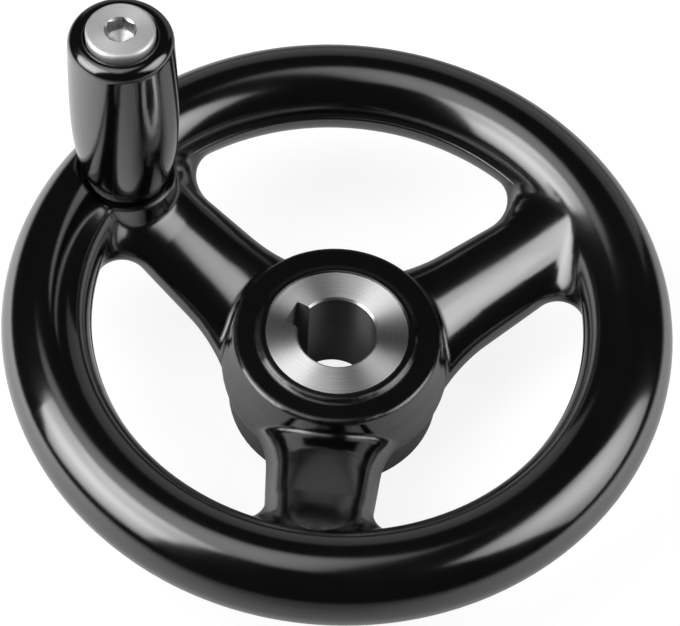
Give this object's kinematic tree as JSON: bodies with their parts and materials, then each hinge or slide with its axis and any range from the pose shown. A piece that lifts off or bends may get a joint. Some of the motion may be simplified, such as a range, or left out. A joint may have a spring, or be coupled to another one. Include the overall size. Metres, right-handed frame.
{
  "type": "machine handwheel",
  "caption": "Glossy black phenolic handwheel with dished spokes, a keyed metal bore bush and a revolving grip that stands on the rim.",
  "frame": {"origin": "centre of the hub's lower face, on the bore's axis", "axes": "+Z along the bore, towards the side that the grip stands on; +X from the bore to the grip; +Y completes a right-handed set"},
  "size_m": [0.1, 0.1, 0.0606],
  "materials": {
    "moulding": "polished black phenolic moulding",
    "bush_steel": "turned steel, concentric tool marks on its end",
    "stud_bush": "plain turned brass",
    "screw_steel": "zinc-plated turned steel",
    "grip_moulding": "polished black phenolic moulding"
  },
  "bodies": {
    "wheel": {"wheel_body": "moulding", "hub_insert": "bush_steel", "handle_insert": "stud_bush", "handle_screw": "screw_steel"},
    "grip": {"handle_grip": "grip_moulding"}
  },
  "joints": [
    {"name": "grip_spin", "type": "hinge", "parent": "wheel", "child": "grip", "pos_m": [0.0394, 0, 0.0431], "axis": [0, 0, 1], "continuous": true}
  ]
}
